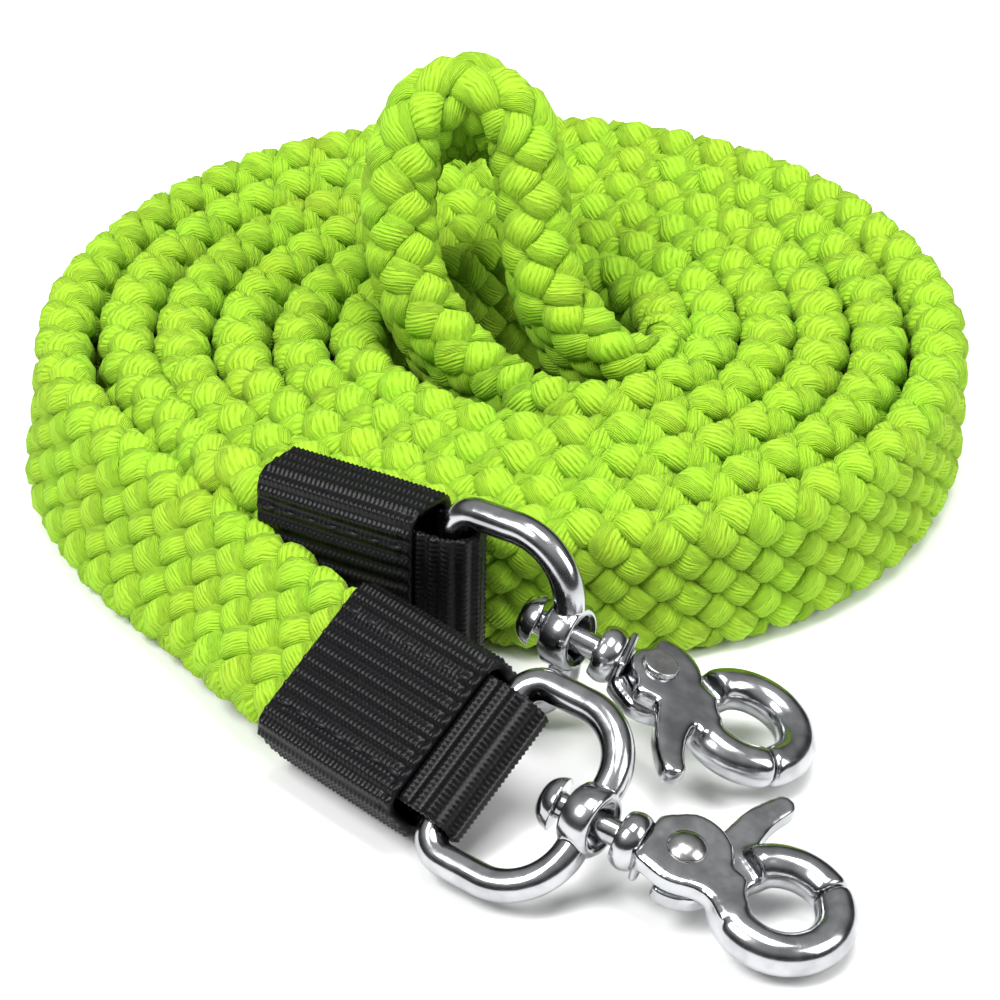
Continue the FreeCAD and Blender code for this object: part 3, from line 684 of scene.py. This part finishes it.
def braid_material():
    """Soft spun yarn: fine plies along each strand, a matt sheen, painted shade where fibres part
    and in the grooves between plies, and painted highlight on the plies' crests.
    """
    made, tree, shader = material("lime_braid", {
        "Roughness": 0.86, "Specular IOR Level": 0.18,
        "Sheen Weight": 0.12, "Sheen Roughness": 0.5, "Sheen Tint": (0.62, 1.0, 0.25, 1)})
    coord = add_node(tree, "ShaderNodeTexCoord")
    twist = add_node(tree, "ShaderNodeMapping", coord.outputs["UV"],
                     values={"Rotation": (0, 0, math.radians(9))}).outputs["Vector"]
    plies = add_node(tree, "ShaderNodeTexWave", twist,
                     values={"Scale": 9.0, "Distortion": 0.9, "Detail": 2.0,
                             "Detail Scale": 2.2, "Detail Roughness": 0.6},
                     wave_type="BANDS", bands_direction="X", wave_profile="SIN")
    stretch = add_node(tree, "ShaderNodeMapping", twist, values={"Scale": (74, 6, 1)})
    fibre = add_noise(tree, stretch.outputs["Vector"], {"Scale": 1.0, "Detail": 4.0})
    calm = add_node(tree, "ShaderNodeMath", plies.outputs["Fac"], into=0, values={1: 0.42},
                    operation="MULTIPLY")
    height = add_node(tree, "ShaderNodeMath", fibre, into=0, values={1: 1.15},
                      operation="MULTIPLY_ADD")
    tree.links.new(calm.outputs["Value"], height.inputs[2])
    add_bump(tree, shader, height.outputs["Value"], 1.0, 0.0003)
    # Base colour follows the bump's height: painted shade in the grooves, painted highlight on
    # the crests.
    ply_shade_and_highlight = add_ramp(tree, height.outputs["Value"], (0.38, (0.18, 0.34, 0.005)),
                    (1.0, (0.37, 0.63, 0.038)), (0.62, (0.30, 0.55, 0.02)))
    cloud = add_node(tree, "ShaderNodeTexNoise", coord.outputs["Object"], values={"Scale": 90.0})
    tone = add_node(tree, "ShaderNodeMix", data_type="RGBA", blend_type="MULTIPLY",
                    values={"Factor": 0.25})
    tree.links.new(ply_shade_and_highlight, tone.inputs[6])
    tree.links.new(cloud.outputs["Color"], tone.inputs[7])
    tree.links.new(tone.outputs[2], shader.inputs["Base Color"])
    return made


def core_material():
    """The dark green seen between the strands: painted shade on the braid's inside."""
    made, tree, shader = material("braid_inside_painted_shade", {"Roughness": 0.95})
    noise = add_noise(tree, None, {"Scale": 900.0})
    # Painted shade: the braid's inside is coloured dark green.
    colour = add_ramp(tree, noise, (0.0, (0.03, 0.08, 0.0)), (1.0, (0.09, 0.22, 0.004)))
    tree.links.new(colour, shader.inputs["Base Color"])
    return made


def webbing_material(name, low, high):
    """Black nylon: slightly shiny, speckled with paler fibres."""
    made, tree, shader = material(name, {"Roughness": 0.36, "Specular IOR Level": 0.19})
    coord = add_node(tree, "ShaderNodeTexCoord").outputs["Object"]
    noise = add_noise(tree, coord, {"Scale": 2600.0, "Detail": 2.0})
    colour = add_ramp(tree, noise, (0.35, low), (0.75, high))
    tree.links.new(colour, shader.inputs["Base Color"])
    add_bump(tree, shader, noise, 0.35, 0.00008)
    return made


def metal_material(name, colour, rough, wave, scuffs):
    """Polished plating over a casting: a faint ripple, dull scuffs and darker stains."""
    made, tree, shader = material(name, {"Metallic": 1.0})
    coord = add_node(tree, "ShaderNodeTexCoord").outputs["Object"]
    ripple = add_noise(tree, coord, {"Scale": 160.0, "Detail": 1.0})
    add_bump(tree, shader, ripple, 0.35, wave)
    marks = add_noise(tree, coord, {"Scale": 420.0, "Detail": 6.0, "Roughness": 0.7})
    spread = add_node(tree, "ShaderNodeMapRange", marks, into="Value",
                      values={"From Min": 0.35, "From Max": 0.8,
                              "To Min": rough, "To Max": rough + scuffs})
    tree.links.new(spread.outputs["Result"], shader.inputs["Roughness"])
    cloud = add_noise(tree, coord, {"Scale": 210.0, "Detail": 3.0})
    stain = add_ramp(tree, cloud, (0.36, [0.7 * c for c in colour]), (0.6, colour))
    tree.links.new(stain, shader.inputs["Base Color"])
    return made


def dress(obj, look):
    """Give a piece one material."""
    obj.data.materials.clear()
    obj.data.materials.append(look)


# ---------------------------------------------------------------- room
def add_floor():
    """A pale ground just under the piece."""
    mesh = bpy.data.meshes.new("floor")
    mesh.from_pydata([(-3, -3, 0), (3, -3, 0), (3, 3, 0), (-3, 3, 0)], [], [(0, 1, 2, 3)])
    floor = bpy.data.objects.new("floor", mesh)
    bpy.context.scene.collection.objects.link(floor)
    floor.location = (0, 0, -0.0002)
    look, _, _ = material("pale_floor", {
        "Base Color": (0.90, 0.90, 0.90, 1), "Roughness": 0.9, "Specular IOR Level": 0.1})
    floor.data.materials.append(look)


def add_world():
    """A studio's surroundings: pale above, with a dark band that polished metal shows."""
    world = bpy.data.worlds.new("studio")
    world.use_nodes = True
    bpy.context.scene.world = world
    tree = world.node_tree
    back = tree.nodes["Background"]
    back.inputs["Strength"].default_value = 1.0
    coord = add_node(tree, "ShaderNodeTexCoord").outputs["Generated"]
    parts = add_node(tree, "ShaderNodeSeparateXYZ", coord)
    levels = ((0.0, 0.28), (1.0, 0.55), (0.10, 0.05), (0.36, 0.08), (0.66, 0.46))
    stops = [(place, (level, level, level)) for place, level in levels]
    tree.links.new(add_ramp(tree, parts.outputs["Z"], *stops), back.inputs["Color"])


# Lights: name, place and size in metres, and watts; and what they face
LIGHTS = (("key", (-0.55, -0.45, 0.95), 0.45, 13.0),
          ("fill", (0.8, -0.35, 0.6), 0.5, 5.5),
          ("top", (0.15, -0.15, 1.3), 0.6, 13.5))
LIGHTS_AIM = (0, -0.03, 0.02)


def add_lights():
    """Three square lights that face the coil."""
    for name, place, size, power in LIGHTS:
        data = bpy.data.lights.new(name, "AREA")
        data.shape = "SQUARE"
        data.size = size
        data.energy = power
        lamp = bpy.data.objects.new(name, data)
        bpy.context.scene.collection.objects.link(lamp)
        lamp.location = place
        aim = Vector(LIGHTS_AIM) - Vector(place)
        lamp.rotation_euler = aim.to_track_quat("-Z", "Y").to_euler()


# ---------------------------------------------------------------- make everything
add_camera()
rope = Rope()
core = add_core(rope)
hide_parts("rope_coil", "rope_bight", "rope_lead_front", "rope_lead_rear")
strands = []
for way, name in ((1, "right"), (-1, "left")):
    for half, chosen in enumerate(((0, 1, 2, 3), (4, 5, 6))):
        strands.append(add_strands(rope, f"braid_{name}_{half}", way, chosen))
lime = braid_material()
for strand in strands:
    dress(strand, lime)
dress(core, core_material())

nylon = webbing_material("black_webbing", (0.0015, 0.0015, 0.002), (0.006, 0.006, 0.007))
thread = webbing_material("black_thread", (0.004, 0.004, 0.005), (0.014, 0.014, 0.016))
chrome = metal_material("bright_plating", (0.45, 0.46, 0.475), 0.13, 0.0005, 0.12)
rivet_steel = metal_material("rivet_steel", (0.46, 0.46, 0.46), 0.18, 0.0003, 0.16)
wire = metal_material("spring_wire", (0.42, 0.41, 0.40), 0.3, 0.00002, 0.1)
for side in ENDS:
    dress(add_cuff(side), nylon)
    dress(add_loop(side), nylon)
    dress(add_stitches(side), thread)
    snap = f"snap_{side}"
    dress(soft_copy(f"d_ring_{side}", f"d_ring_{side}", "chrome", *AS_DRAWN), chrome)
    dress(soft_copy(f"swivel_stem_{side}", snap, "chrome", *STEM_CAST), chrome)
    dress(soft_copy(f"fixed_jaw_{side}", snap, "chrome", *JAW_CAST), chrome)
    dress(soft_copy(f"moving_jaw_{side}", f"trigger_{side}", "chrome", *JAW_CAST), chrome)
    dress(soft_copy(f"jaw_rivet_{side}", snap, "rivet", *RIVET_CAST), rivet_steel)
    for slot in nodes[f"jaw_spring_{side}"].material_slots:
        slot.material = wire

mouth = end_points(ENDS["front"], (0, 0, 0))[0] * MM

add_floor()
add_world()
add_lights()
bpy.context.scene.view_settings.view_transform = "Standard"
bpy.context.scene.view_settings.look = "None"
